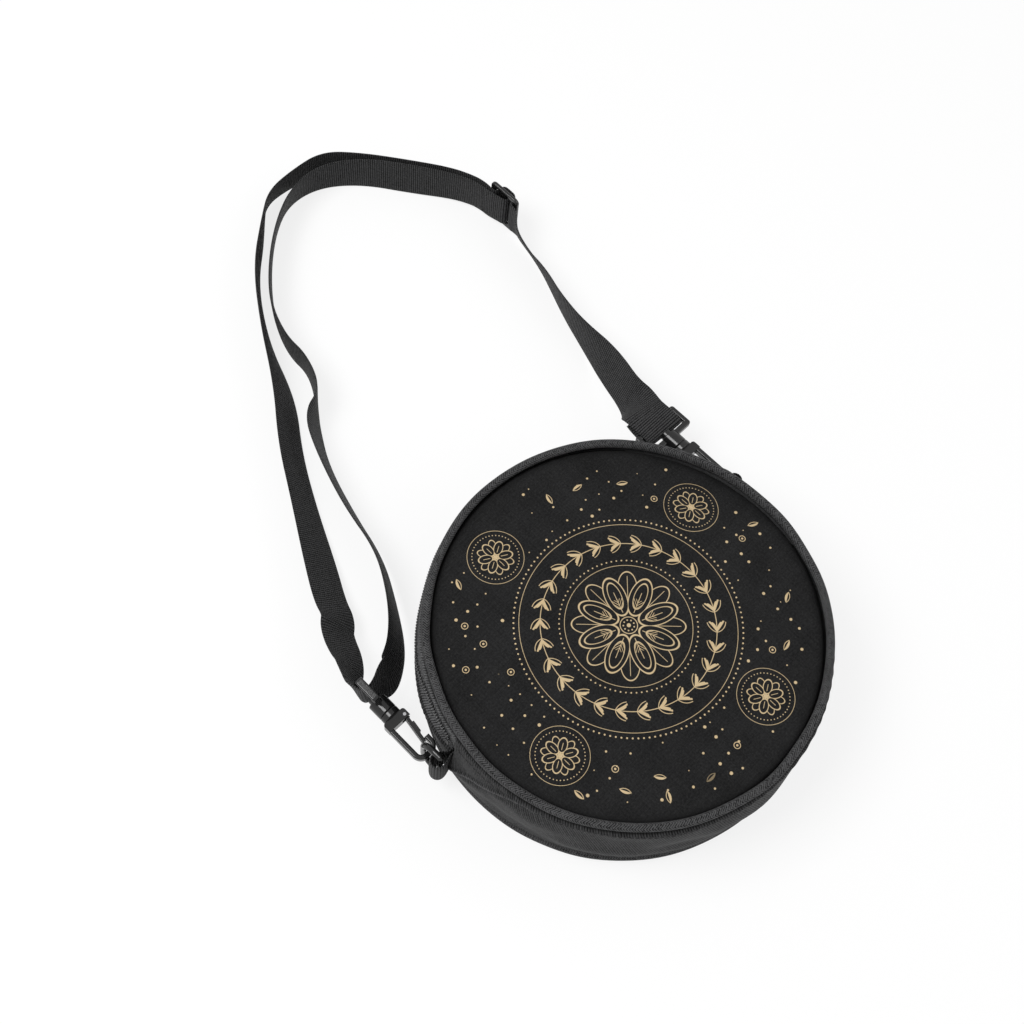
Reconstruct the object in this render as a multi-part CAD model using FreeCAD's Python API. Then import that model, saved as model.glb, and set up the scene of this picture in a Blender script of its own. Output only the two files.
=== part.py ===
import FreeCAD, Part
import math
import os

V = FreeCAD.Vector

# Frame: the bag lies on its back. +Z is up through the front panel, +Y is the bag's top.
# The origin is the middle of the back panel's outer face. All lengths are in mm.

# The round body
bag_radius = 110.0
bag_depth = 66.0
piping_d = 6.0
piping_lift = 0.2
panel_thickness = 1.2
back_panel_lap = 0.3
front_panel_gap = 0.3
panel_recess = 2.0
foam_thickness = 2.5
foam_margin = 1.7
lining_thickness = 0.4
gusset_inset = 1.4
gusset_thickness = 1.2
seam_gap = 0.1
binding_depth = 3.4
binding_height = 2.8
chord_share = 0.4
chord_gap = 0.3
overrun = 20.0

# The zip in the upper wall
zip_gap = 1.2
tape_front_width = 10.3
tape_thickness = 0.8
tape_back_width = 14.0
coil_width = 2.4
coil_height = 1.8
stop_arc = 2.0
stop_rise = 0.5
stop_margin = 1.2
slider_arc = 12.0
slider_plate = 1.2
slider_half_width = 4.6
slider_wall = 1.2
slider_clear = 0.4
slider_under_clear = 1.0
slider_web = 0.6
slider_web_share = 0.5
slider_stop_gap = 1.5
lug_thickness = 1.3
lug_arc = 3.6
pull_pin_d = 1.4
pull_pin_rise = 2.0
pull_bore_d = 1.8
pull_eye_d = 3.4
pull_width = 5.0
pull_thickness = 1.6
pull_length = 21.5

# Tabs, rings and hooks
web_width = 25.0
web_thickness = 1.5
running_gap = 0.3
tab_angle = 10.5
tab_lift = 16.5
tab_root_depth = 4.4
tab_neck = 5.5
tab_slot_gap = 0.2
ring_d = 3.6
ring_stand = 8.9
ring_side_gap = 2.3
ring_arm = 2.2
ring_corner = 9.8
hook_thickness = 5.0
hook_seat_gap = 0.5
hook_half_gap = 4.2
hook_band = 3.0
hook_corner = 2.4
hook_round = 6.0
edge_round = 0.9
small_round = 0.5
nose_rise = 4.0
head_start = 18.1
flange_start = 23.5
flange_length = 3.5
flange_d = 11.0
swivel_gap = 0.2
collar_length = 9.0
post_d = 4.6
post_bore_d = 4.8
post_head_d = 7.4
post_head_length = 2.0
frame_bar_u = 46.0
base_roll = 8.0
frame_bar_d = 4.4
frame_cross = 3.5
frame_thickness = 4.4
frame_side_gap = 0.7
frame_arm = 3.0
frame_round = 1.8
gate_thickness = 2.4
gate_width = 3.2
gate_slot_gap = 0.2
gate_pivot_u = 20.1
gate_pivot_v = -5.2
gate_tip_u = 2.3
gate_tip_v = -2.6
gate_pin_d = 1.8
gate_pin_gap = 0.1
gate_root_d = 4.2
gate_swing_room = 0.9
head_wall = 1.2
head_round = 1.6
gate_ridge = 0.9
gate_ridge_start_share = 0.3
gate_ridge_end_share = 0.68

# The strap and its slide buckle
laid_radius = 110.0
glide_laid_x = 166.5
glide_laid_y = 256.0
glide_lift = 4.3
glide_thickness = 2.6
glide_bar = 4.0
glide_slot = 5.5
glide_side_gap = 0.5
glide_rail = 3.3
arc_share = 0.45
arc_step = 18.0
run_step = 12.0
flat_lean = 90

# The strap's route: x, y, height of its lower edge when on edge, and its lean in degrees.
# A lean of 0 stands the webbing on edge, 90 lays it flat. The stretches that lie free are
# given from the origin for a bag of the laid radius, the turns from the buckle or the bar.
sewn_turn = [
    (-0.9, 3.4, 4.3, 0), (2.9, 3.5, 4.3, 0), (2.8, -3.5, 4.3, 0), (-2.9, -3.4, 4.3, 0),
    (-3.9, 2.4, 4.3, 0), (-5.3, 7.5, 4.3, 0), (-5.5, 15.0, 4.0, 0),
]
inner_stretch = [
    (159.6, 279.0, 3.4, 0), (154.6, 292.2, 1.5, -2), (140.2, 313.6, 0.4, -8), (120.4, 339.9, 0.5, -4),
    (97.3, 355.2, 0.5, 4), (73.8, 356.0, 0.2, 13), (52.5, 344.6, 0.3, 10), (29.7, 324.6, 0.5, 4),
    (9.8, 300.1, 0.5, -2), (-0.3, 274.5, 0.5, 0), (-0.1, 255.4, 0.5, 0), (-10.1, 234.8, 0.5, 8),
    (-24.1, 225.0, -0.1, -20), (-36.2, 201.6, 0.2, -14), (-47.0, 166.5, 0.5, -16), (-54.2, 134.7, 3.5, -10),
    (-67.4, 109.1, 6.0, -7), (-83.8, 87.1, 7.1, -18),
]
left_turn = [
    (17.0, -2.0, 11.0, -24), (9.5, -3.6, 15.7, -10), (3.5, -3.8, 17.0, 0), (-3.9, -4.0, 16.0, 0),
    (-4.1, 4.2, 16.0, 8), (-2.4, 8.2, 16.4, 22),
]
outer_stretch = [
    (-110.1, 99.2, 11.2, 42), (-96.9, 122.3, 5.9, 40), (-81.5, 153.5, 0.6, 41), (-63.0, 187.8, -0.7, 33),
    (-44.7, 220.9, -1.1, 30), (-22.4, 251.0, -0.8, 27), (-5.3, 288.7, 0.5, 6), (18.5, 324.9, 0.5, 0),
    (44.8, 348.3, 0.5, -2), (61.0, 364.4, 0.1, -16), (82.3, 365.5, 0.3, -13), (106.5, 361.9, 0.5, -5),
    (124.8, 343.7, 0.5, -5), (143.0, 319.0, 0.5, -3), (157.6, 296.5, 1.0, 0), (163.0, 280.0, 3.4, 0),
]
threaded_turn = [
    (-2.3, 15.2, 4.3, 0), (-2.6, 9.3, 4.3, 0), (-2.4, 5.7, 4.3, 0), (4.5, 5.6, 4.3, 0), (4.9, 0.0, 4.3, 0),
    (4.4, -5.7, 4.3, 0), (-2.4, -5.8, 4.3, 0), (-2.8, -13.0, 4.3, 0),
]
right_stretch = [
    (158.7, 235.5, 2.7, -18), (155.2, 219.4, 0.7, -24), (150.8, 201.2, 0.4, -12), (143.2, 181.2, 0.5, -7),
    (137.2, 156.0, 1.1, -1), (130.8, 128.2, 3.5, 27), (121.2, 104.7, 10.5, 30), (115.8, 94.8, 17.0, 76),
]
right_turn = [
    (0.0, 9.6, 19.7, 90), (-0.1, -3.4, 19.8, 90), (0.0, -3.4, 13.0, 90), (0.1, 5.0, 13.0, 90),
    (0.3, 11.0, 15.6, 90),
]


def sector(r0, r1, z0, z1, a0, a1):
    """A ring-shaped wall between two radii and two heights, from angle a0 to angle a1."""
    pts = [V(r0, 0, z0), V(r1, 0, z0), V(r1, 0, z1), V(r0, 0, z1)]
    face = Part.Face(Part.makePolygon(pts + pts[:1]))
    face.rotate(V(0, 0, 0), V(0, 0, 1), a0)
    return face.revolve(V(0, 0, 0), V(0, 0, 1), a1 - a0)


def full_ring(r0, r1, z0, z1):
    """A full ring as the difference of two cylinders."""
    outer = Part.makeCylinder(r1, z1 - z0, V(0, 0, z0))
    inner = Part.makeCylinder(r0, z1 - z0 + 2 * overrun, V(0, 0, z0 - overrun))
    return outer.cut(inner)


def disc(radius, z0, z1):
    return Part.makeCylinder(radius, z1 - z0, V(0, 0, z0))


def top_half():
    """The block of space above the fold line, on the side that opens."""
    size = 2 * bag_radius + 2 * overrun
    low = chord_y + chord_gap / 2
    return Part.makeBox(size, size, size, V(-size / 2, low, -size / 2))


def low_half():
    """The block of space below the fold line, on the side that stays."""
    size = 2 * bag_radius + 2 * overrun
    high = chord_y - chord_gap / 2
    return Part.makeBox(size, size, size, V(-size / 2, high - size, -size / 2))


def solids_of(shape):
    found = shape.Solids
    return found[0] if len(found) == 1 else Part.makeCompound(found)


def save(name, shape):
    shape = shape.removeSplitter() if shape.ShapeType != "Compound" else shape
    bad = [s for s in shape.Solids if not s.isValid() or s.Volume <= 0]
    print(name, "solids", len(shape.Solids), "volume", round(shape.Volume), "BAD" if bad else "")
    shape.exportStep("parts/" + name + ".step")


# Derived heights and radii
chord_y = bag_radius * chord_share
piping_r = piping_d / 2
piping_ring = bag_radius - piping_r
wall_out = bag_radius - gusset_inset
wall_in = wall_out - gusset_thickness
back_piping_z = piping_r + piping_lift
front_piping_z = bag_depth - piping_r
wall_low = back_piping_z + piping_r + seam_gap
wall_high = front_piping_z - piping_r - seam_gap
back_panel_radius = piping_ring - piping_r + back_panel_lap
front_panel_radius = piping_ring - piping_r - front_panel_gap
foam_radius = front_panel_radius - foam_margin
front_top = bag_depth - panel_recess
front_low = front_top - panel_thickness
tab_slot_angle = math.degrees((web_thickness + tab_slot_gap) / wall_out)
upper_start = tab_angle + tab_slot_angle
upper_end = 180 - upper_start
lower_start = 180 - tab_angle + tab_slot_angle
lower_end = 360 + tab_angle - tab_slot_angle
tape_front_low = wall_high - tape_front_width
zip_z = tape_front_low - zip_gap / 2
tape_back_high = zip_z - zip_gap / 2
tape_back_low = tape_back_high - tape_back_width
coil_out = wall_out + coil_height
slider_angle = math.degrees(slider_arc / wall_out)
slider_rest_angle = (upper_start + math.degrees((stop_margin + stop_arc + slider_stop_gap) / coil_out)
                     + slider_angle / 2)
tab_z = web_width / 2 + tab_lift
ring_bar_radius = wall_out + ring_stand
ring_half_height = web_width / 2 + ring_side_gap
frame_slot_half = web_width / 2 + frame_side_gap
glide_slot_half = web_width / 2 + glide_side_gap
glide_x = glide_laid_x * bag_radius / laid_radius
glide_y = glide_laid_y * bag_radius / laid_radius
glide_z = web_width / 2 + glide_lift


def piping(z):
    return Part.makeTorus(piping_ring, piping_r, V(0, 0, z), V(0, 0, 1))


def build_back():
    save("back_panel", disc(back_panel_radius, 0, panel_thickness))
    foam_top = panel_thickness + foam_thickness
    save("back_foam", disc(foam_radius, panel_thickness, foam_top))
    save("back_lining", disc(foam_radius, foam_top, foam_top + lining_thickness))
    save("back_piping", piping(back_piping_z))
    bind_out = wall_in - lining_thickness
    save("back_binding", full_ring(bind_out - binding_depth, bind_out, wall_low, wall_low + binding_height))


def build_walls():
    lining_in = wall_in - lining_thickness
    save("gusset_lower", sector(wall_in, wall_out, wall_low, wall_high, lower_start, lower_end))
    save("gusset_upper", sector(wall_in, wall_out, wall_low, tape_back_low, upper_start, upper_end))
    save("gusset_lining_lower", sector(lining_in, wall_in, wall_low, wall_high, lower_start, lower_end))
    save("gusset_lining_upper", sector(lining_in, wall_in, wall_low, tape_back_low, upper_start, upper_end))


def build_front():
    foam_low = front_low - foam_thickness
    bind_out = wall_in - lining_thickness
    layers = [
        ("front_panel", disc(front_panel_radius, front_low, front_top)),
        ("front_foam", disc(foam_radius, foam_low, front_low)),
        ("front_lining", disc(foam_radius, foam_low - lining_thickness, foam_low)),
        ("front_piping", piping(front_piping_z)),
        ("front_binding", full_ring(bind_out - binding_depth, bind_out, wall_high - binding_height, wall_high)),
    ]
    for name, whole in layers:
        save(name + "_flap", solids_of(whole.common(top_half())))
        save(name + "_lower", solids_of(whole.common(low_half())))


def build_zip():
    tape_in = wall_out - tape_thickness
    front_tape = sector(tape_in, wall_out, tape_front_low, wall_high, upper_start, upper_end)
    front_coil = sector(wall_out, coil_out, tape_front_low, tape_front_low + coil_width, upper_start, upper_end)
    save("zip_tape_front", solids_of(front_tape.common(top_half())))
    save("zip_coil_front", solids_of(front_coil.common(top_half())))
    save("zip_tape_front_ends", solids_of(front_tape.common(low_half())))
    save("zip_coil_front_ends", solids_of(front_coil.common(low_half())))
    save("zip_tape_back", sector(tape_in, wall_out, tape_back_low, tape_back_high, upper_start, upper_end))
    save("zip_coil_back", sector(wall_out, coil_out, tape_back_high - coil_width, tape_back_high,
                                 upper_start, upper_end))
    stop_angle = math.degrees(stop_arc / coil_out)
    half = zip_gap / 2 + coil_width
    margin = math.degrees(stop_margin / coil_out)
    starts = [upper_start + margin, upper_end - margin - stop_angle]
    stops = [sector(coil_out, coil_out + stop_rise, zip_z - half, zip_z + half, a, a + stop_angle)
             for a in starts]
    save("zip_end_stops", Part.makeCompound(stops))


def build_slider():
    half_angle = slider_angle / 2
    a0 = slider_rest_angle - half_angle
    a1 = slider_rest_angle + half_angle
    top_in = coil_out + slider_clear
    top_out = top_in + slider_plate
    under_out = wall_out - tape_thickness - slider_under_clear
    under_in = under_out - slider_plate
    z0 = zip_z - slider_half_width
    z1 = zip_z + slider_half_width
    wall_foot = wall_out + slider_clear
    web_half = half_angle * slider_web_share
    body = sector(top_in, top_out, z0, z1, a0, a1)
    body = body.fuse(sector(under_in, under_out, z0, z1, a0, a1))
    body = body.fuse(sector(wall_foot, top_in, z0, z0 + slider_wall, a0, a1))
    body = body.fuse(sector(wall_foot, top_in, z1 - slider_wall, z1, a0, a1))
    body = body.fuse(sector(under_out, top_in, zip_z - slider_web / 2, zip_z + slider_web / 2,
                            slider_rest_angle - web_half, slider_rest_angle + web_half))
    pin_radius = top_out + pull_pin_rise
    lug_half = math.degrees(lug_arc / 2 / top_out)
    lug_gap = pull_width / 2 + running_gap
    for side in (-1, 1):
        near = zip_z + side * lug_gap
        far = near + side * lug_thickness
        body = body.fuse(sector(top_in, pin_radius + pull_pin_d, min(near, far), max(near, far),
                                slider_rest_angle - lug_half, slider_rest_angle + lug_half))
    pin = Part.makeCylinder(pull_pin_d / 2, 2 * lug_gap + lug_thickness,
                            V(pin_radius, 0, zip_z - lug_gap - lug_thickness / 2))
    pin.rotate(V(0, 0, 0), V(0, 0, 1), slider_rest_angle)
    save("zip_slider", body.fuse(pin))
    z_low = zip_z - pull_width / 2
    pull = Part.makeCylinder(pull_eye_d / 2, pull_width, V(pin_radius, 0, z_low))
    pull = pull.fuse(Part.makeBox(pull_thickness, pull_length, pull_width,
                                  V(pin_radius - pull_thickness / 2, 0, z_low)))
    pull = pull.fuse(Part.makeCylinder(pull_width / 2, pull_thickness,
                                       V(pin_radius - pull_thickness / 2, pull_length, zip_z), V(1, 0, 0)))
    pull = pull.cut(Part.makeCylinder(pull_bore_d / 2, pull_width + 2 * overrun,
                                      V(pin_radius, 0, z_low - overrun)))
    pull.rotate(V(0, 0, 0), V(0, 0, 1), slider_rest_angle)
    save("zip_pull", pull)


def prism(points, z0, height):
    """A flat outline in X and Y raised along Z."""
    pts = [V(x, y, z0) for x, y in points]
    return Part.Face(Part.makePolygon(pts + pts[:1])).extrude(V(0, 0, height))


def tab():
    """Webbing folded round the ring's bar, with both legs going into the seam, along +X."""
    z0 = tab_z - web_width / 2
    eye_in = ring_d / 2 + running_gap
    eye_out = eye_in + web_thickness
    neck = ring_bar_radius - tab_neck
    root = wall_in - tab_root_depth
    outside = Part.makeCylinder(eye_out, web_width, V(ring_bar_radius, 0, z0))
    outside = outside.fuse(prism([(neck, -web_thickness), (ring_bar_radius, -eye_out),
                                  (ring_bar_radius, eye_out), (neck, web_thickness)], z0, web_width))
    outside = outside.fuse(Part.makeBox(neck - root, 2 * web_thickness, web_width,
                                        V(root, -web_thickness, z0)))
    low = z0 - overrun
    tall = web_width + 2 * overrun
    inside = Part.makeCylinder(eye_in, tall, V(ring_bar_radius, 0, low))
    inside = inside.fuse(prism([(neck + web_thickness / 2, 0), (ring_bar_radius, -eye_in),
                                (ring_bar_radius, eye_in)], low, tall))
    shape = outside.cut(inside)
    shape.rotate(V(0, 0, 0), V(0, 0, 1), tab_angle)
    return shape


bar_x = ring_bar_radius * math.cos(math.radians(tab_angle))
bar_y = ring_bar_radius * math.sin(math.radians(tab_angle))
bow_y = bar_y + ring_arm + ring_corner


def ring():
    """A round-section D: a straight bar along Z, two arms towards +Y, two round corners and a straight bow."""
    r = ring_d / 2
    half = ring_half_height
    straight = half - ring_corner
    shape = Part.makeCylinder(r, 2 * half, V(bar_x, bar_y, tab_z - half))
    shape = shape.fuse(Part.makeCylinder(r, 2 * straight, V(bar_x, bow_y, tab_z - straight)))
    for side in (-1, 1):
        end = tab_z + side * half
        shape = shape.fuse(Part.makeSphere(r, V(bar_x, bar_y, end)))
        shape = shape.fuse(Part.makeCylinder(r, ring_arm, V(bar_x, bar_y, end), V(0, 1, 0)))
        corner = Part.makeTorus(ring_corner, r, V(0, 0, 0), V(0, 0, 1), -180, 180, 90)
        corner.rotate(V(0, 0, 0), V(0, 1, 0), -90)
        if side < 0:
            corner.rotate(V(0, 0, 0), V(0, 1, 0), 180)
        corner.translate(V(bar_x, bar_y + ring_arm, tab_z + side * straight))
        shape = shape.fuse(corner)
    return shape.removeSplitter()


def local(v, u, w):
    """Hook frame to part frame: v points away from the bag, u along the hook, w along Z."""
    return V(bar_x + v, bow_y + u, tab_z + w)


def block(v0, v1, u0, u1, w0, w1):
    return Part.makeBox(v1 - v0, u1 - u0, w1 - w0, local(v0, u0, w0))


def round_post(radius, u0, u1):
    return Part.makeCylinder(radius, u1 - u0, local(0, u0, 0), V(0, 1, 0))


def collar(u0, u1):
    """A turned collar with rounded rims."""
    post = round_post(flange_d / 2, u0, u1)
    return post.makeFillet(small_round, [e for e in post.Edges if len(e.Vertexes) == 1])


def in_plane(edge, z):
    """Whether an edge lies at one height."""
    return all(abs(v.Point.z - z) < running_gap / 2 for v in edge.Vertexes)


def upright(edge, length):
    """Whether an edge runs along Z for at least a length."""
    ends = [v.Point for v in edge.Vertexes]
    return len(ends) > 1 and abs(ends[0].z - ends[1].z) > length


def hook():
    """A flat snap hook: spine on the far side, square-bottomed nose, forked head, flange and post."""
    half = hook_thickness / 2
    seat = -ring_d / 2 - hook_seat_gap
    base = seat - hook_band
    out = hook_half_gap + hook_band
    shape = block(-out, out, base, head_start + hook_band, -half, half)
    window = block(-hook_half_gap, hook_half_gap, seat, head_start, -half - overrun, half + overrun)
    edges = [e for e in window.Edges if upright(e, overrun) and e.Vertexes[0].Point.y < bow_y]
    window = window.makeFillet(hook_corner, edges)
    shape = shape.cut(window)
    corners = [e for e in shape.Edges if upright(e, half)
               and e.Vertexes[0].Point.y < bow_y + seat - hook_band / 2]
    shape = shape.makeFillet(hook_round, corners)
    shape = shape.cut(block(-out - overrun, -hook_half_gap, nose_rise, head_start,
                            -half - overrun, half + overrun))
    rims = [e for e in shape.Edges if (in_plane(e, tab_z + half) or in_plane(e, tab_z - half))
            and min(v.Point.y for v in e.Vertexes) < bow_y + head_start - running_gap]
    shape = shape.makeFillet(edge_round, rims)
    head_half = gate_width / 2 + gate_slot_gap + head_wall
    head = block(-out, out, head_start, flange_start, -head_half, head_half)
    head = head.makeFillet(head_round, [e for e in head.Edges if upright(e, head_half)
                                        and e.Vertexes[0].Point.y > bow_y + flange_start - head_round])
    shape = shape.fuse(head)
    slot_half = gate_width / 2 + gate_slot_gap
    root_clear = gate_root_d / 2 + running_gap
    shape = shape.cut(block(-out - overrun, gate_pivot_v + root_clear + gate_swing_room, head_start,
                            gate_pivot_u + root_clear, -slot_half, slot_half))
    pin_hole = Part.makeCylinder(gate_pin_d / 2, 2 * overrun, local(gate_pivot_v, gate_pivot_u, -overrun))
    shape = shape.cut(pin_hole)
    flange_end = flange_start + flange_length
    post_end = flange_end + swivel_gap + collar_length + swivel_gap
    shape = shape.fuse(collar(flange_start, flange_end))
    shape = shape.fuse(round_post(post_d / 2, flange_end, post_end))
    shape = shape.fuse(round_post(post_head_d / 2, post_end, post_end + post_head_length))
    return shape.removeSplitter(), head_half


def gate():
    """The sprung arm that closes the hook, with a round root on its pin."""
    half = gate_width / 2
    length = math.hypot(gate_pivot_u - gate_tip_u, gate_tip_v - gate_pivot_v)
    root = Part.makeCylinder(gate_root_d / 2, gate_width, V(0, 0, -half))
    arm = Part.makeBox(gate_thickness, length, gate_width, V(-gate_thickness / 2, -length, -half))
    arm = arm.makeFillet(small_round, [e for e in arm.Edges if e.Length > length - running_gap])
    ridge_start = length * gate_ridge_start_share
    ridge_end = length * gate_ridge_end_share
    ridge = Part.makeBox(gate_ridge + small_round, ridge_end - ridge_start, gate_width,
                         V(-gate_thickness / 2 - gate_ridge, -ridge_end, -half))
    ridge = ridge.makeFillet(small_round, [e for e in ridge.Edges if upright(e, half)
                                           and e.Vertexes[0].Point.x < -gate_thickness / 2])
    shape = root.fuse(arm).fuse(ridge)
    shape = shape.cut(Part.makeCylinder(gate_pin_d / 2 + gate_pin_gap, gate_width + 2 * overrun,
                                        V(0, 0, -half - overrun)))
    slant = math.degrees(math.atan2(gate_tip_v - gate_pivot_v, gate_pivot_u - gate_tip_u))
    shape.rotate(V(0, 0, 0), V(0, 0, 1), slant)
    shape.translate(local(gate_pivot_v, gate_pivot_u, 0))
    return shape


def gate_pin(head_half):
    return Part.makeCylinder(gate_pin_d / 2, 2 * head_half, local(gate_pivot_v, gate_pivot_u, -head_half))


def swivel_base():
    """The strap's end loop: a collar round the hook's post, a cross piece, two arms and a round bar."""
    start = flange_start + flange_length + swivel_gap
    end = start + collar_length
    half = frame_thickness / 2
    out = frame_slot_half + frame_arm
    shape = block(-out, out, end - frame_cross, frame_bar_u + frame_bar_d / 2, -half, half)
    shape = shape.cut(block(-frame_slot_half, frame_slot_half, end, frame_bar_u + frame_bar_d,
                            -half - overrun, half + overrun))
    shape = shape.makeFillet(frame_round, [e for e in shape.Edges if upright(e, half)
                                           and abs(e.Vertexes[0].Point.x - bar_x) > out - running_gap])
    rims = [e for e in shape.Edges if in_plane(e, tab_z + half) or in_plane(e, tab_z - half)]
    shape = shape.makeFillet(edge_round, rims)
    shape = shape.fuse(collar(start, end))
    bar = Part.makeCylinder(frame_bar_d / 2, 2 * frame_slot_half + frame_arm,
                            local(-frame_slot_half - frame_arm / 2, frame_bar_u, 0), V(1, 0, 0))
    shape = shape.fuse(bar)
    return shape.cut(round_post(post_bore_d / 2, start - overrun, end + overrun)).removeSplitter()


def build_hardware():
    hook_shape, head_half = hook()
    base_right = swivel_base()
    base_left = swivel_base()
    base_left.rotate(local(0, 0, 0), V(0, 1, 0), 90 + base_roll)
    right = {
        "tab": tab(), "d_ring": ring(), "hook": hook_shape, "gate": gate(), "gate_pin": gate_pin(head_half),
    }
    for name, shape in right.items():
        save(name + "_right", shape)
        save(name + "_left", shape.mirror(V(0, 0, 0), V(1, 0, 0)))
    save("swivel_base_right", base_right)
    save("swivel_base_left", base_left.mirror(V(0, 0, 0), V(1, 0, 0)))


def build_glide():
    """A flat frame with three bars along Z; the strap stands on edge through its two slots."""
    length = 2 * glide_slot + 3 * glide_bar
    tall = 2 * (glide_slot_half + glide_rail)
    x0 = glide_x - glide_thickness / 2
    shape = Part.makeBox(glide_thickness, length, tall, V(x0, glide_y - length / 2, glide_z - tall / 2))
    for side in (-1, 1):
        near = glide_y + side * glide_bar / 2
        far = near + side * glide_slot
        shape = shape.cut(Part.makeBox(glide_thickness + 2 * overrun, glide_slot, 2 * glide_slot_half,
                                       V(x0 - overrun, min(near, far), glide_z - glide_slot_half)))
    corners = [e for e in shape.Edges
               if abs(e.Vertexes[0].Point.x - e.Vertexes[1].Point.x) > glide_thickness / 2
               and abs(e.Vertexes[0].Point.y - glide_y) > length / 2 - web_thickness
               and abs(e.Vertexes[0].Point.z - glide_z) > tall / 2 - web_thickness]
    shape = shape.makeFillet(glide_rail, corners)
    rims = [e for e in shape.Edges if all(abs(v.Point.x - e.Vertexes[0].Point.x) < running_gap / 2
                                          for v in e.Vertexes)]
    save("tri_glide", shape.makeFillet(edge_round, rims))


def strap_route():
    """The whole route as points and leans, from the sewn end round the buckle to the right bar."""
    stand = web_width / 2
    reach = bag_radius / laid_radius
    free = (0, 0, reach)
    buckle = (glide_x, glide_y, 1)
    left_bar = (-bar_x, bow_y + frame_bar_u, 1)
    right_bar = (bar_x, bow_y + frame_bar_u, 1)
    legs = [(sewn_turn, buckle), (inner_stretch, free), (left_turn, left_bar), (outer_stretch, free),
            (threaded_turn, buckle), (right_stretch, free), (right_turn, right_bar)]
    found = []
    for points, (x0, y0, scale_share) in legs:
        for x, y, lift, lean in points:
            found.append((V(x0 + x * scale_share, y0 + y * scale_share, lift + stand), lean))
    return found


def strap_frames():
    """Middle, direction and lean along the route: straight runs joined by tangent arcs."""
    route = strap_route()
    pts = [p for p, lean in route]
    leans = [lean for p, lean in route]
    frames = [(pts[0], (pts[1] - pts[0]).normalize(), leans[0])]
    radii = []
    for i in range(1, len(pts) - 1):
        before = pts[i] - pts[i - 1]
        after = pts[i + 1] - pts[i]
        a = before.Length
        b = after.Length
        d0 = V(before).normalize()
        d1 = V(after).normalize()
        turn = d0.getAngle(d1)
        cut = arc_share * min(a, b)
        radius = cut / math.tan(turn / 2)
        radii.append(radius)
        lean_in = leans[i] + (leans[i - 1] - leans[i]) * cut / a
        lean_out = leans[i] + (leans[i + 1] - leans[i]) * cut / b
        start = pts[i] - d0 * cut
        centre_dir = (d1 - d0).normalize()
        centre = pts[i] + centre_dir * math.hypot(radius, cut)
        axis = d0.cross(d1).normalize()
        last = frames[-1]
        gap = (start - last[0]).Length
        steps = max(1, int(math.ceil(gap / run_step)))
        for k in range(1, steps):
            f = k / steps
            frames.append((last[0] + (start - last[0]) * f, d0, last[2] + (lean_in - last[2]) * f))
        count = max(1, int(math.ceil(math.degrees(turn) / arc_step)))
        for k in range(count + 1):
            f = k / count
            spin = FreeCAD.Rotation(axis, math.degrees(turn) * f)
            place = centre + spin.multVec(start - centre)
            frames.append((place, spin.multVec(d0), lean_in + (lean_out - lean_in) * f))
    frames.append((pts[-1], (pts[-1] - pts[-2]).normalize(), leans[-1]))
    print("strap arc radii from", round(min(radii), 2), "to", round(max(radii), 1))
    return frames


def build_strap():
    frames = strap_frames()
    wires = []
    length = 0
    flat = False
    width = V(0, 0, 1)
    for i, (place, along, lean) in enumerate(frames):
        if lean >= flat_lean and flat:
            width = (width - along * width.dot(along)).normalize()
        else:
            side = V(0, 0, 1).cross(along).normalize()
            up = along.cross(side).normalize()
            turn = math.radians(lean)
            width = up * math.cos(turn) + side * math.sin(turn)
        flat = lean >= flat_lean
        thick = along.cross(width).normalize()
        w = width * (web_width / 2)
        t = thick * (web_thickness / 2)
        pts = [place - w - t, place + w - t, place + w + t, place - w + t]
        wires.append(Part.makePolygon(pts + pts[:1]))
        if i:
            length += (place - frames[i - 1][0]).Length
    strap = Part.makeLoft(wires, True, True)
    print("strap length", round(length), "volume", round(strap.Volume),
          "section by length", round(web_width * web_thickness * length))
    save("strap_webbing", strap)


os.makedirs("parts", exist_ok=True)
build_back()
build_walls()
build_front()
build_zip()
build_slider()
build_hardware()
build_glide()
build_strap()
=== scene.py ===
import math

import bpy
import numpy as np
from mathutils import Matrix


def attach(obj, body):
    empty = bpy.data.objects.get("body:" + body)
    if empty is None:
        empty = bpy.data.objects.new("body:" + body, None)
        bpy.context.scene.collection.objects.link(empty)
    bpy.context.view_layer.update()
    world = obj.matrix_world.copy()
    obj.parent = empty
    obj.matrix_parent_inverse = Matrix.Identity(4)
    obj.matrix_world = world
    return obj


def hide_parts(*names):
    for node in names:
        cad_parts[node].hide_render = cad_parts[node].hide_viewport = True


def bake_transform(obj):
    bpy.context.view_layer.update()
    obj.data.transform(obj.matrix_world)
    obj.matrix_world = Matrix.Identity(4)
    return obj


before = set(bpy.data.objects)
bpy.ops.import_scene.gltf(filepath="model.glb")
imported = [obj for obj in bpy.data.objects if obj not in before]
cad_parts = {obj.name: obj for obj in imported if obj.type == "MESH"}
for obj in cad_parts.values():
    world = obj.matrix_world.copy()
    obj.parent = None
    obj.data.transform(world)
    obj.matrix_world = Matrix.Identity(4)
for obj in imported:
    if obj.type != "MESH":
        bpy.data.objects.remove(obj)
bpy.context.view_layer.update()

MM = 0.001
TURN = 2 * math.pi
CLOTH = "Cloth"
SHARP_EDGE = math.radians(50)
UP = np.array([0.0, 0.0, 1.0])

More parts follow.
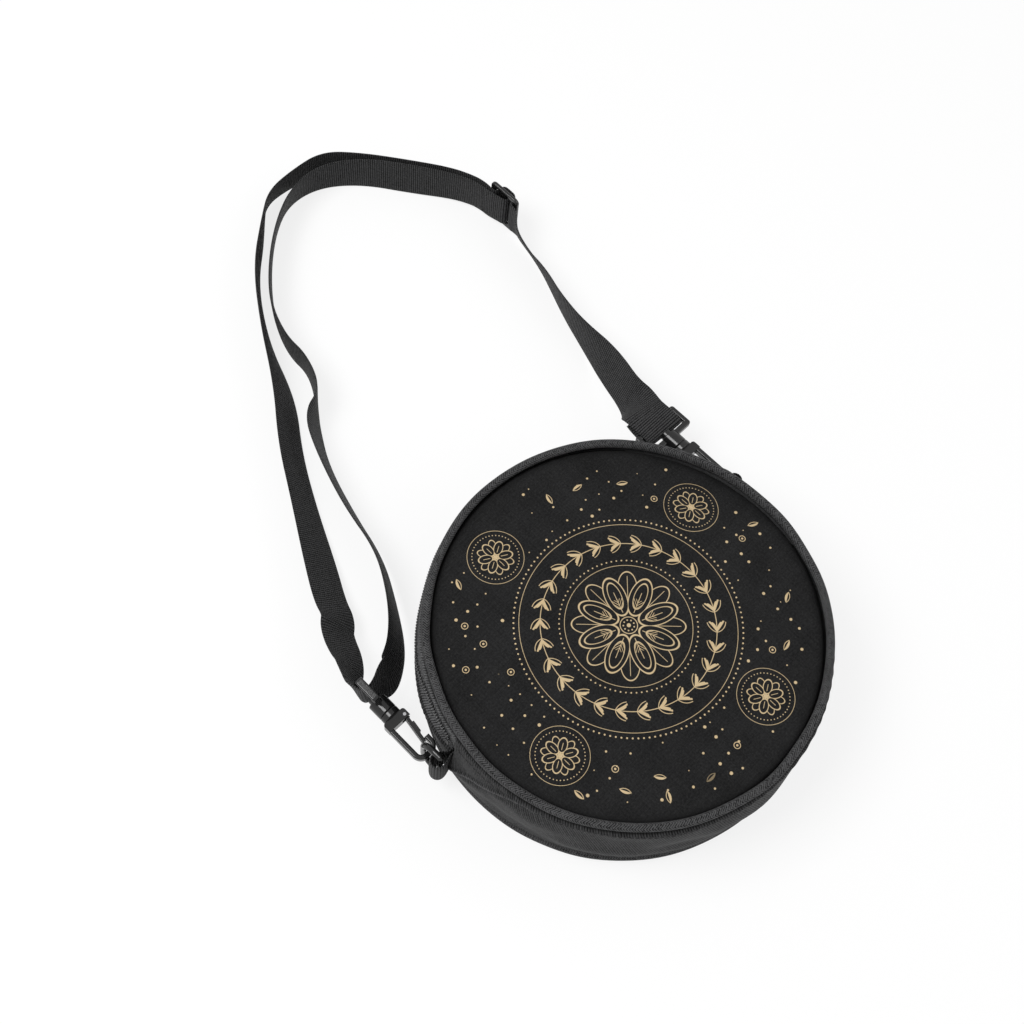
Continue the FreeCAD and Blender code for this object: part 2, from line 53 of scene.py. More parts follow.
# Sizes of the bag, as in the solids but for the soft front rim, which stands up a little as in use
rim_radius = 107 * MM
piping_radius = 3.0 * MM
front_rim_radius = 106.0 * MM
front_rim_z = 66.7 * MM
back_rim_z = 3.2 * MM
panel_radius = 104.3 * MM
front_radius = 105.2 * MM
front_panel_z = 64.0 * MM
wall_radius = 108.5 * MM
wall_front_z = 64.4 * MM
wall_back_z = 6.0 * MM
canvas_thickness = 1.0 * MM
tape_thickness = 0.8 * MM
zip_z = 49.0 * MM
tape_back_z = 34.6 * MM
hem_z = tape_back_z + 2.2 * MM
upper_start, upper_end = math.radians(11.4), math.radians(168.6)
lower_start, lower_end = math.radians(170.4), math.radians(369.6)
tab_angle = math.radians(10.5)
tab_z = 29 * MM
bar_radius = 117.5 * MM
bar_x = bar_radius * math.cos(tab_angle)
base_y = 79.413 * MM
web_width = 25 * MM
web_thickness = 1.5 * MM
buckle_x, buckle_y = 166.5 * MM, 256 * MM
twill_pitch = 1.4 * MM

# Crease on the lower wall: it climbs from the left tab as a parabola of the distance, to just under the front seam
crease_start = 26.5 * MM
crease_slope = 1.18
crease_bend = 8.8
crease_reach = 60 * MM
crease_top = wall_front_z - 3.0 * MM

# Walls meet above and below the tabs: half the tab's height with room, the band in which they close, and how far
tab_half = 12.8 * MM
closing_band = 2.5 * MM
closing_turn = math.radians(0.86)


# Shapes

def ease(t):
    """Smooth step: three t squared less two t cubed, held at 0 and 1 outside."""
    t = np.clip(t, 0, 1)
    return t * t * (3 - 2 * t)


def bell(t, middle, spread):
    """Bell curve: e to minus the square of the distance from the middle, in spreads."""
    return np.exp(-((t - middle) / spread) ** 2)


def soft_waves(a, b, short, long, seed, count=14):
    """Sum of plane waves in drawn directions, with lengths from short to long, about plus or minus one."""
    draw = np.random.default_rng(seed)
    total = np.zeros(np.broadcast(a, b).shape)
    for heading, start, length in zip(draw.uniform(0, TURN, count), draw.uniform(0, TURN, count),
                                      draw.uniform(short, long, count)):
        total += np.cos((a * math.cos(heading) + b * math.sin(heading)) * TURN / length + start)
    return total / math.sqrt(count)


def rim_pull(angle):
    """How much the front rim gives way to the right tab: a bell round the tab's heading, at most one."""
    return bell((angle - math.radians(15) + math.pi) % TURN, math.pi, math.radians(30))


def stacked(*parts):
    """Joins arrays of x, y and z, or of two cloth measures, into one array of points."""
    return np.stack(np.broadcast_arrays(*parts), -1)


def around(radius, angle):
    """The x and y of points at a radius and an angle round the bag's axis."""
    return radius * np.cos(angle), radius * np.sin(angle)


def unit(vectors):
    """Vectors divided by their lengths."""
    return vectors / np.linalg.norm(vectors, axis=-1, keepdims=True)


def run_along(line):
    """Length of a line up to each of its points."""
    return np.concatenate([[0], np.cumsum(np.linalg.norm(np.diff(line, axis=0), axis=1))])


def new_object(name, data):
    """An object of this data, linked to the scene."""
    holder = bpy.data.objects.new(name, data)
    bpy.context.scene.collection.objects.link(holder)
    return holder


def put_in_scene(name, points, quads, quad_spots, tris, tri_spots, finish):
    """One mesh of these faces. If the volume they enclose comes out negative they are turned round."""
    halves = np.concatenate([quads[:, [0, 1, 2]], quads[:, [0, 2, 3]], tris])
    a, b, c = (points[halves[:, k]] for k in range(3))
    if np.einsum("ij,ij->i", a, np.cross(b, c)).sum() < 0:
        quads, quad_spots = quads[:, ::-1], quad_spots[:, ::-1]
        tris, tri_spots = tris[:, ::-1], tri_spots[:, ::-1]
    used, number = np.unique(np.concatenate([quads.ravel(), tris.ravel()]), return_inverse=True)
    quad_count = quads.size
    faces = number[:quad_count].reshape(-1, 4).tolist() + number[quad_count:].reshape(-1, 3).tolist()
    mesh = bpy.data.meshes.new(name)
    mesh.from_pydata(points[used].tolist(), [], faces)
    spots = np.concatenate([quad_spots.reshape(-1, 2), tri_spots.reshape(-1, 2)])
    mesh.uv_layers.new(name=CLOTH).uv.foreach_set("vector", spots.astype(np.float32).ravel())
    mesh.shade_smooth()
    mesh.set_sharp_from_angle(angle=SHARP_EDGE)
    mesh.materials.append(finish)
    piece = new_object(name, mesh)
    return piece


def grid_faces(points, cloth, round_u=False, round_v=False, poles=False):
    """Faces of a grid: each joins a point to its neighbours along u and v. A round direction joins its last
    line to its first, poles make one point of the first and of the last column, and a profile that is round
    across but open along is closed by rungs from one side of it to the other."""
    rows, columns = points.shape[:2]
    index = np.arange(rows * columns).reshape(rows, columns)
    if poles:
        index[:, 0] = index[0, 0]
        index[:, -1] = index[0, -1]
    i, j = np.meshgrid(np.arange(rows - (not round_u)), np.arange(columns - (not round_v)), indexing="ij")
    corners = ((0, 0), (1, 0), (1, 1), (0, 1))
    quads = np.stack([index[(i + a) % rows, (j + b) % columns] for a, b in corners], -1).reshape(-1, 4)
    spots = np.stack([cloth[i + a, j + b] for a, b in corners], -2).reshape(-1, 4, 2)
    if round_v and not round_u:
        k = np.arange(columns // 2 - 1)
        order = np.stack([k, k + 1, columns - 2 - k, columns - 1 - k], -1)
        ends = [(0, order), (rows - 1, order[:, ::-1])]
        quads = np.concatenate([quads] + [index[row, way] for row, way in ends])
        spots = np.concatenate([spots] + [cloth[row, way] for row, way in ends])
    first = quads[:, 0] == quads[:, 1]
    last = quads[:, 2] == quads[:, 3]
    whole = ~(first | last)
    tris = np.concatenate([quads[first][:, [0, 2, 3]], quads[last][:, [0, 1, 2]]])
    tri_spots = np.concatenate([spots[first][:, [0, 2, 3]], spots[last][:, [0, 1, 2]]])
    return quads[whole], spots[whole], tris, tri_spots


def grid_piece(name, points, cloth, finish, slot, **ways):
    """A piece on a grid of points, rows along it and columns across it."""
    quads, spots, tris, tri_spots = grid_faces(points, cloth, **ways)
    return put_in_scene(name, points.reshape(-1, 3), quads, spots, tris, tri_spots, finish)


def disc_piece(name, top, under, finish, slot, spokes=360, rings=72, reach=panel_radius):
    """A round panel: along each spoke the top runs from the middle to the rim and the underside back again.
    top and under give the height from the spoke's angle and the radius."""
    angle = np.linspace(0, TURN, spokes + 1)[:, None]
    share = np.linspace(0, 1, rings)
    out = reach * (1 - (1 - share) ** 1.5)
    back = np.linspace(1, 0, rings // 2) * reach
    radius = np.concatenate([out, back])[None, :]
    height = np.concatenate([top(angle, out[None, :]), under(angle, back[None, :])], 1)
    points = stacked(*around(radius, angle), height)
    return grid_piece(name, points[:-1], points[..., :2], finish, slot, round_u=True, poles=True)


def wall_piece(name, start, end, z_front, z_back, outer, thickness, finish, slot, rows=360, across=36):
    """A bent strip of cloth round the bag's axis: the outside runs from front to back at the radius that
    outer gives for an angle and a height, and the inside comes back one thickness nearer the axis. Above and
    below the tabs its ends reach on to meet the next strip."""
    z = np.linspace(z_front, z_back, across)[None, :]
    past = closing_turn * ease((np.abs(z - tab_z) - tab_half) / closing_band)
    angle = start - past + np.linspace(0, 1, rows)[:, None] * (end - start + 2 * past)
    outside = outer(angle, z)
    angle = np.concatenate([angle, angle[:, ::-1]], 1)
    heights = np.concatenate([z, z[:, ::-1]], 1)
    radius = np.concatenate([outside, outside[:, ::-1] - thickness], 1)
    points = stacked(*around(radius, angle), heights)
    cloth = stacked(angle * wall_radius, heights)
    cloth = np.concatenate([cloth, cloth[:, :1]], 1)
    return grid_piece(name, points, cloth, finish, slot, round_v=True)


def ring_piece(name, radius, z, half_across, half_high, finish, slot, waver=0.0, seed=1, rows=720, sides=24, drop=0.0,
               flange=0.0):
    """A soft ring round the bag's axis: an oval section, its middle wavering a little in and out and up
    and down as a sum of waves along the ring. Below it narrows to a flange. By the right tab it is drawn in,
    and hangs lower by the drop."""
    angle = np.linspace(0, TURN, rows + 1)[:, None]
    side = np.linspace(0, TURN, sides + 1)[None, :]
    place = around(radius, angle)
    fall = drop * rim_pull(angle)
    outward = waver * soft_waves(*place, 30 * MM, 90 * MM, seed) - 0.45 * fall
    lift = waver * soft_waves(*place, 40 * MM, 110 * MM, seed + 1) - fall
    waist = 1 - 0.8 * ease((-np.sin(side) - 0.2) / 0.6) * (flange > 0)
    reach = radius + outward + half_across * np.cos(side) * waist
    level = z + lift + (half_high + fall) * np.sin(side) - flange * ease((-np.sin(side) - 0.35) / 0.65)
    points = stacked(*around(reach, angle), level)
    cloth = stacked(angle * radius, side * (half_across + half_high) / 2)
    return grid_piece(name, points[:-1, :-1], cloth, finish, slot, round_u=True, round_v=True)


def ribbon_piece(name, middle, wide, finish, slot, width=web_width, thickness=web_thickness, across=8, start=0.0):
    """Flat webbing: a thin section with rounded selvedges carried along the middle line. wide points across
    it, and the thickness lies square to that and to the line."""
    along = unit(np.gradient(middle, axis=0))
    wide = unit(wide - along * (wide * along).sum(-1, keepdims=True))
    face = np.cross(along, wide)
    share = np.sin(np.linspace(-1, 1, across) * math.pi / 2)
    half = thickness / 2 * np.sqrt(1 - 0.92 * np.abs(share) ** 5)
    offset = np.concatenate([share, share[::-1]]) * width / 2
    height = np.concatenate([half, -half[::-1]])
    points = middle[:, None] + wide[:, None] * offset[None, :, None] + face[:, None] * height[None, :, None]
    cloth = stacked(offset[None, :], (start + run_along(middle))[:, None])
    cloth = np.concatenate([cloth, cloth[:, :1]], 1)
    return grid_piece(name, points, cloth, finish, slot, round_v=True)


def repeated_piece(name, shape, places, axes, finish):
    """Copies of one small closed shape: each point is the copy's place plus the shape's three measures
    along that copy's own axes."""
    quads, spots, tris, tri_spots = grid_faces(shape, shape[..., :2][np.ix_(
        np.arange(shape.shape[0] + 1) % shape.shape[0], np.arange(shape.shape[1]))], round_u=True, poles=True)
    corner = shape.reshape(-1, 3)
    points = places[:, None] + np.einsum("vk,nkc->nvc", corner, axes)
    count = len(places)
    shift = np.arange(count)[:, None, None] * len(corner)
    return put_in_scene(name, points.reshape(-1, 3), (quads[None] + shift).reshape(-1, 4),
                        np.tile(spots, (count, 1, 1)), (tris[None] + shift).reshape(-1, 3),
                        np.tile(tri_spots, (count, 1, 1)), finish)


def grain(length, width, height, fullness=2.0, sides=6, steps=6):
    """A rounded grain along its first axis: its section is an oval that swells from each end as the
    fullness-th root of what is left of the length."""
    side = np.linspace(0, TURN, sides, endpoint=False)[:, None]
    t = np.cos(np.linspace(math.pi, 0, steps))[None, :]
    swell = np.maximum(1 - np.abs(t) ** fullness, 0) ** (1 / fullness)
    return stacked(t * length / 2, swell * np.cos(side) * width / 2, swell * np.sin(side) * height / 2)


# Finishes

class Flow:
    """A value in a node tree. Sums, products and functions of it become Math nodes."""

    def __init__(self, tree, socket):
        self.tree, self.socket = tree, socket

    def math(self, operation, *others):
        return new_node(self.tree, "Math", (self,) + others, operation=operation)[0]

    def __add__(self, other):
        return self.math("ADD", other)

    def __sub__(self, other):
        return self.math("SUBTRACT", other)

    def __mul__(self, other):
        return self.math("MULTIPLY", other)

    def __truediv__(self, other):
        return self.math("DIVIDE", other)

    def __abs__(self):
        return self.math("ABSOLUTE")

    def flipped(self):
        """One less the value."""
        return (self * -1) + 1

    def root(self):
        return self.math("SQRT")

    def ridge(self):
        """Size of the sine of half a turn per unit: a round ridge from each whole number to the next."""
        return abs((self * math.pi).math("SINE"))


def feed(tree, sockets, values):
    """Gives each socket its value: a link from a Flow, or else a plain setting."""
    for socket, value in zip(sockets, values):
        if isinstance(value, Flow):
            tree.links.new(value.socket, socket)
        else:
            socket.default_value = value


def new_node(tree, kind, values, **settings):
    """A shader node with these settings, its inputs fed in order or by their names, and its outputs as Flows."""
    node = tree.nodes.new("ShaderNode" + kind)
    for label, setting in settings.items():
        setattr(node, label, setting)
    if isinstance(values, dict):
        feed(tree, [node.inputs[label] for label in values], values.values())
    else:
        feed(tree, node.inputs, values)
    return [Flow(tree, socket) for socket in node.outputs]


def new_group(name, takes, gives):
    """An empty node group with named inputs and outputs, and its inputs as Flows. All but Vector are numbers."""
    tree = bpy.data.node_groups.new(name, "ShaderNodeTree")
    for label in takes:
        kind = "NodeSocketVector" if label == "Vector" else "NodeSocketFloat"
        tree.interface.new_socket(label, in_out="INPUT", socket_type=kind)
    for label in gives:
        tree.interface.new_socket(label, in_out="OUTPUT", socket_type="NodeSocketFloat")
    door = tree.nodes.new("NodeGroupInput")
    return tree, [Flow(tree, door.outputs[label]) for label in takes]


def end_group(tree, *values):
    """Links the values to the group's outputs, in order."""
    feed(tree, tree.nodes.new("NodeGroupOutput").inputs, values)
    return tree


def placed(tree, group, *values):
    """One use of a group in a tree, and its outputs as Flows."""
    return new_node(tree, "Group", values, node_tree=group)


def parts_of(vector):
    """The x and y of a vector."""
    return new_node(vector.tree, "SeparateXYZ", (vector,))[:2]


def steepened(vector, share):
    """The vector with its second measure made smaller, so that a pattern on it stands taller."""
    return new_node(vector.tree, "VectorMath", (vector, (1.0, share, 1.0)), operation="MULTIPLY")[0]


def noise(vector, scale, detail=2.0):
    """Cloudy noise from 0 to 1, of so many clouds to the metre."""
    return new_node(vector.tree, "TexNoise", {"Vector": vector, "Scale": scale, "Detail": detail})[0]


def by_chance(value):
    """A drawn number from 0 to 1 that is the same wherever the value is."""
    return new_node(value.tree, "TexWhiteNoise", {"W": value}, noise_dimensions="1D")[0]


def below(value, edge, soft):
    """One where the value is below the edge and nought above it, easing over the soft band."""
    ends = (value, edge - soft, edge + soft, 1.0, 0.0)
    return new_node(value.tree, "MapRange", ends, interpolation_type="SMOOTHSTEP")[0]


def colours(factor, low, high):
    """A colour between two as the factor goes from 0 to 1."""
    return new_node(factor.tree, "Mix", {0: factor, 6: low, 7: high}, data_type="RGBA")[2]


def canvas_weave():
    """Plain weave. Threads lie one pitch apart both ways; in every other square the warp is on top, and each
    thread is a round ridge that dips under its neighbours. Tone differs from thread to thread."""
    tree, (vector, pitch) = new_group("canvas_weave", ("Vector", "Pitch"), ("Height", "Tone"))
    x, y = parts_of(vector)
    u, v = x / pitch, y / pitch
    over = (u.math("FLOOR") + v.math("FLOOR")).math("FLOORED_MODULO", 2.0)
    warp, weft = u.ridge(), v.ridge()
    warp_high = warp * (weft * 0.4 + 0.6) * over
    weft_high = weft * (warp * 0.4 + 0.6) * over.flipped()
    tone = by_chance(u.math("FLOOR")) * over + by_chance(v.math("FLOOR") + 0.37) * over.flipped()
    return end_group(tree, warp_high + weft_high, tone)


def twill_weave():
    """Herringbone twill. Slanting ridges one pitch apart turn back at each wave's width, with fine threads
    across them."""
    tree, (vector, pitch, wave) = new_group("twill_weave", ("Vector", "Pitch", "Wave"), ("Height", "Tone"))
    x, y = parts_of(vector)
    slant = (x + y.math("PINGPONG", wave)) / pitch
    threads = (y / pitch * 2.0).ridge()
    return end_group(tree, slant.ridge() * (threads * 0.35 + 0.65), by_chance(slant.math("FLOOR")))


def rib_weave():
    """Webbing. Ribs lie across it one rib apart, and along each rib yarns stand side by side, shifted by half
    a yarn from rib to rib."""
    tree, (vector, rib, yarn) = new_group("rib_weave", ("Vector", "Rib", "Yarn"), ("Height", "Tone"))
    x, y = parts_of(vector)
    row = y / rib
    shift = row.math("FLOOR").math("FLOORED_MODULO", 2.0) * 0.5
    yarns = x / yarn + shift
    tone = by_chance(yarns.math("FLOOR") + row.math("FLOOR") * 17.3)
    return end_group(tree, row.ridge() * (yarns.ridge() * 0.5 + 0.5), tone)


def cloth_wear():
    """Rubbed and dusty cloth: broad clouds, fine fibre specks and a mottle of uneven yarn, each from 0 to 1."""
    tree, (vector, clouds, yarns) = new_group(
        "cloth_wear", ("Vector", "Clouds", "Yarns"), ("Clouds", "Specks", "Mottle"))
    specks = below(noise(vector, 1100.0, 1.0), 0.6, 0.06).flipped()
    return end_group(tree, noise(vector, clouds, 3.0), specks, noise(vector, yarns, 1.0))


def moulded_skin():
    """Moulded or coated surface: fine grain for the height, and broad clouds with thin rubs for the gloss."""
    tree, (vector, grain_scale) = new_group("moulded_skin", ("Vector", "Grain"), ("Height", "Clouds", "Rubs"))
    rubs = below(abs(noise(vector, 160.0, 4.0) - 0.5), 0.012, 0.01)
    return end_group(tree, noise(vector, grain_scale, 2.0), noise(vector, 90.0, 3.0), rubs)


def rgb(red, green, blue):
    return (red, green, blue, 1.0)


def grey(level):
    return (level, level, level * 1.02, 1.0)


class Finish:
    """A material under way: its tree, its shader and its coordinates, on the piece's cloth or in space."""

    def __init__(self, name, on_cloth=True, **settings):
        self.material = bpy.data.materials.new(name)
        self.material.use_nodes = True
        self.tree = self.material.node_tree
        self.shader = self.tree.nodes["Principled BSDF"]
        for label, value in settings.items():
            self.shader.inputs[label.replace("_", " ")].default_value = value
        if on_cloth:
            self.place = new_node(self.tree, "UVMap", (), uv_map=CLOTH)[0]
        else:
            self.place = Flow(self.tree, self.tree.nodes.new("ShaderNodeTexCoord").outputs["Object"])

    def link(self, label, value):
        self.tree.links.new(value.socket, self.shader.inputs[label])

    def relief(self, height, distance):
        bump = new_node(self.tree, "Bump", {"Strength": 1.0, "Distance": distance, "Height": height})
        self.link("Normal", bump[0])


weaves = {"canvas": canvas_weave(), "twill": twill_weave(), "rib": rib_weave()}
wear_group = cloth_wear()
skin_group = moulded_skin()


def cloth_finish(name, weave, sizes, dark, light, depth, roughness, contrast=1.0, uneven=0.6, yarns=520.0, steep=1.0,
                 gloss=0.05, sheen=0.03, seams=(), highlight_line=None):
    """Cloth of a weave: the colour goes from dark in the gaps to light on the threads, with clouds, specks
    and uneven threads, and the threads stand out by the depth. Each seam is a band of painted shade across the cloth,
    given by its place and half its width. The last argument gives, from the place on the cloth, where a painted
    highlight lies."""
    finish = Finish(name, Specular_IOR_Level=gloss, Sheen_Weight=sheen, Sheen_Roughness=0.5)
    place = steepened(finish.place, steep)
    height, tone = placed(finish.tree, weaves[weave], place, *sizes)
    clouded, specks, mottle = placed(finish.tree, wear_group, place, 60.0, yarns)
    share = (height - 0.5) * contrast + tone * 0.25 + (clouded - 0.5) * 0.5 + (mottle - 0.5) * uneven + specks * 0.15
    share = (share + 0.4).math("MAXIMUM", 0.0)
    # Painted highlight: the crease's line is drawn paler, and may run past the light colour where the mix is left
    # unclamped.
    if highlight_line:
        share = share + highlight_line(finish.place) * 1.3
    # Painted shade: each seam darkens the colour in a band across the cloth, down to a tenth at its middle.
    if seams:
        across = parts_of(finish.place)[1]
        for at, half in seams:
            share = share * (below(abs(across - at), half, half).flipped() * 0.9 + 0.1)
    base = colours(share, grey(dark), grey(light))
    base.socket.node.clamp_factor = highlight_line is None
    finish.link("Base Color", base)
    finish.link("Roughness", clouded * 0.2 + (roughness - 0.1))
    finish.relief(height, depth)
    return finish.material


def crease_highlight(place):
    """Painted highlight on the crease by the left tab: a thin pale band along the crease's line on the lower wall,
    fading away from the tab."""
    run, z = parts_of(place)
    left = run - lower_start * wall_radius
    near = left.math("MINIMUM", crease_reach)
    line = (near * crease_slope - near * near * crease_bend + crease_start).math("MINIMUM", crease_top)
    stretch = below(left, 46 * MM, 24 * MM) * below(left, 1 * MM, 1 * MM).flipped()
    return below(abs(z - line), 0.7 * MM, 0.6 * MM) * stretch


def hard_finish(name, dark, light, roughness, spread, grain_scale, depth, **settings):
    """Moulded plastic or coated metal: fine grain, cloudy gloss and thin rubs."""
    finish = Finish(name, on_cloth=False, **settings)
    height, clouded, rubs = placed(finish.tree, skin_group, finish.place, grain_scale)
    finish.link("Base Color", colours(clouded * 0.7 + rubs * 0.5, grey(dark), grey(light)))
    finish.link("Roughness", clouded * spread + (roughness - spread / 2) - rubs * 0.08)
    finish.relief(height, depth)
    return finish.material


# Printed front: lengths in this group are millimetres on the panel

def drawn(distance, width):
    """A line: ink within half its width of where the distance is nought."""
    return below(abs(distance), width / 2, 0.1)


def inked(distance):
    """A filled shape: ink where the distance is below nought."""
    return below(distance, 0.0, 0.1)


def union(*inks):
    """The most of several inks or other values."""
    most = inks[0]
    for ink in inks[1:]:
        most = most.math("MAXIMUM", ink)
    return most


def reach_of(x, y):
    """Distance from the middle: the root of x squared plus y squared."""
    return (x * x + y * y).root()


def spoke_angle(angle, count, turn=0.0):
    """The angle measured from the nearest of so many even spokes."""
    return ((angle * (count / TURN) + turn).math("FRACT") - 0.5) * (TURN / count)


def petal(angle, reach, count, turn, middle, half_long, half_wide):
    """Distance from a ring of oval petals, and the two measures in a petal, along it and across it."""
    part = spoke_angle(angle, count, turn)
    along = reach * part.math("COSINE") - middle
    across = reach * part.math("SINE")
    oval = reach_of(along / half_long, across / half_wide)
    return (oval - 1.0) * half_wide, along, across


def leaf(along, across, half_long, half_wide):
    """Distance from a pointed leaf, where two equal circles overlap."""
    circle = (half_long ** 2 + half_wide ** 2) / (2 * half_wide)
    return reach_of(along, abs(across) + (circle - half_wide)) - circle


def dotted_ring(angle, reach, radius, count, dot):
    """Distance from a ring of round dots."""
    return reach_of(spoke_angle(angle, count) * radius, reach - radius) - dot


def blossom_print():
    """A small round blossom: six oval petals with a rib each, a filled middle, and a fine ring with dots."""
    tree, (x, y) = new_group("blossom_print", ("X", "Y"), ("Ink",))
    reach = reach_of(x, y)
    angle = y.math("ARCTAN2", x)
    edge, along, across = petal(angle, reach, 6, 0.0, 5.4, 3.9, 2.35)
    rib = drawn(across, 0.3) * below(abs(along + 0.6), 1.9, 0.1)
    behind, _, _ = petal(angle, reach, 6, 0.5, 6.6, 3.4, 2.0)
    shown = inked(edge).flipped()
    ink = union(drawn(edge, 0.42), rib, drawn(behind, 0.34) * shown, inked(reach - 1.25),
                drawn(reach - 15.2, 0.26), inked(dotted_ring(angle, reach, 12.6, 44, 0.3)))
    return end_group(tree, ink)


def garden_print():
    """Round ornament of petals, leaves and dots: a large flower, a wreath of leaves, dotted rings, four
    blossoms near the rim, and dots, leaves and circles scattered between them."""
    tree, (vector,) = new_group("garden_print", ("Vector",), ("Ink",))
    x, y = (part * 1000.0 for part in parts_of(vector))
    reach = reach_of(x, y)
    angle = y.math("ARCTAN2", x)

    edge, along, across = petal(angle, reach, 8, 0.0, 17.0, 11.0, 5.6)
    echo, _, _ = petal(angle, reach, 8, 0.0, 17.6, 7.6, 3.2)
    behind, _, behind_across = petal(angle, reach, 8, 0.5, 21.5, 8.6, 5.0)
    shown = inked(edge).flipped()
    rib = drawn(across, 0.34) * below(abs(along + 3.4), 6.0, 0.1)
    hatch = drawn((along * 0.8 - abs(across)).math("PINGPONG", 0.7), 0.34) * inked(echo)
    back_rib = drawn(behind_across, 0.3) * inked(behind + 1.4) * shown
    flower = union(drawn(edge, 0.5), drawn(echo, 0.36), rib, drawn(behind, 0.42) * shown, back_rib,
                   hatch * below(reach, 15.5, 0.2), drawn(reach - 4.6, 0.45),
                   inked(dotted_ring(angle, reach, 2.9, 9, 0.42)), inked(reach - 1.1))

    stem = 46.5
    part = spoke_angle(angle, 26)
    bend = part * stem
    rise = reach - stem
    leaves = [drawn(rise, 0.42)]
    for tilt in (0.62, -0.62):
        along = bend * math.cos(tilt) + rise * math.sin(tilt) - 4.3
        across = rise * math.cos(tilt) - bend * math.sin(tilt)
        blade = leaf(along, across, 4.3, 1.55)
        leaves += [drawn(blade, 0.4), inked(blade) * below(across * math.copysign(1, tilt), 0.0, 0.1)]
    berries = inked(reach_of((part + TURN / 52) * stem, abs(rise) - 3.6) - 0.62)
    wreath = union(berries, *leaves)
    rings = union(drawn(reach - 33.8, 0.28), inked(dotted_ring(angle, reach, 36.6, 84, 0.42)),
                  drawn(reach - 57.6, 0.28), inked(dotted_ring(angle, reach, 60.4, 132, 0.48)))

    middles = [(79.0 * math.cos(heading), 79.0 * math.sin(heading)) for heading in (0.30, 1.87, 3.44, 5.01)]
    inks = [placed(tree, blossom_group, x - at_x, y - at_y)[0] for at_x, at_y in middles]
    for cell, chance in ((8.6, 0.42), (17.5, 0.3)):
        cells = {"Vector": vector, "Scale": 1000 / cell, "Randomness": 0.7}
        _, shades, nearest = new_node(tree, "TexVoronoi", cells, voronoi_dimensions="2D")[:3]
        drawn_by, shade = parts_of(shades)
        near_x, near_y = (part * 1000.0 for part in parts_of(nearest))
        side_x, side_y = x - near_x, y - near_y
        apart = reach_of(side_x, side_y)
        kept = below(shade, chance, 0.001).flipped()
        room = 0.8 if cell < 10 else 3.0
        kept = kept * below(abs(reach_of(near_x, near_y) - 80.0), 17.0 - room, 0.001)
        for at_x, at_y in middles:
            kept = kept * below(reach_of(near_x - at_x, near_y - at_y), 16.4 + room, 0.001).flipped()
        if cell < 10:
            ink = inked(apart - (drawn_by * 0.6 + 0.3))
        else:
            way = drawn_by * (2 * TURN)
            along = side_x * way.math("COSINE") + side_y * way.math("SINE")
            across = side_y * way.math("COSINE") - side_x * way.math("SINE")
            blade = leaf(along, across, 3.0, 1.15)
            sprig = union(drawn(blade, 0.36), inked(blade) * below(across, 0.0, 0.1))
            circle = union(drawn(apart - 1.7, 0.4), inked(apart - 0.6))
            is_leaf = below(drawn_by, 0.55, 0.001)
            ink = sprig * is_leaf + circle * is_leaf.flipped()
        inks.append(ink * kept)
    return end_group(tree, union(flower, wreath, rings, *inks))


blossom_group = blossom_print()
print_group = garden_print()


def printed_finish():
    """Smooth matte panel cloth with the gold print lying in its weave, with painted shade where it turns into the
    rim's seam.
    """
    finish = Finish("printed_canvas", Specular_IOR_Level=0.06, Sheen_Weight=0.02, Sheen_Roughness=0.5)
    height, tone = placed(finish.tree, weaves["canvas"], finish.place, 0.42 * MM)
    clouded, specks, mottle = placed(finish.tree, wear_group, finish.place, 45.0, 900.0)
    ink, = placed(finish.tree, print_group, finish.place)
    # Painted shade: the ground darkens over the last few millimetres to the rim, down to 0.15 of its tone.
    inside = below(reach_of(*parts_of(finish.place)), 101.8 * MM, 3.0 * MM)
    share = height * 0.3 + tone * 0.2 + (clouded - 0.5) * 0.5 + (mottle - 0.5) * 0.6 + specks * 0.15
    ground = colours(share.math("MAXIMUM", 0.0) * (inside * 0.85 + 0.15), grey(0.005), grey(0.04))
    gold = colours(clouded * 0.7 + tone * 0.3, rgb(0.62, 0.46, 0.25), rgb(0.80, 0.63, 0.39))
    shown = ink * (height * 0.25 + 0.75)
    finish.link("Base Color", colours(shown, ground, gold))
    finish.link("Roughness", (shown * -0.2) + clouded * 0.16 + 0.62)
    finish.relief(height + ink * 0.25, 0.12 * MM)
    return finish.material


panel_cloth = printed_finish()
# The wall's seams paint shade into the grooves under the front piping and by the back piping.
wall_cloth = cloth_finish("black_canvas", "twill", (twill_pitch, 90 * MM), 0.002, 0.04, 0.12 * MM, 0.62,
                          # painted highlight along the crease by the left tab
                          contrast=1.3, uneven=1.5, yarns=900.0, steep=0.42, highlight_line=crease_highlight,
                          seams=((wall_front_z - 0.5 * MM, 0.8 * MM), (wall_back_z + 0.8 * MM, 0.9 * MM)))
back_cloth = cloth_finish("back_canvas", "canvas", (0.75 * MM,), 0.006, 0.06, 0.3 * MM, 0.64)
# The piping's seams paint shade along its underside, on its inner and its outer flank.
piping_cloth = cloth_finish("twill_piping", "twill", (twill_pitch, 2.15 * MM), 0.003, 0.076, 0.18 * MM, 0.55,
                            contrast=1.4, uneven=2.0, yarns=700.0,
                            seams=((8.6 * MM, 0.8 * MM), (12.6 * MM, 1.2 * MM)))
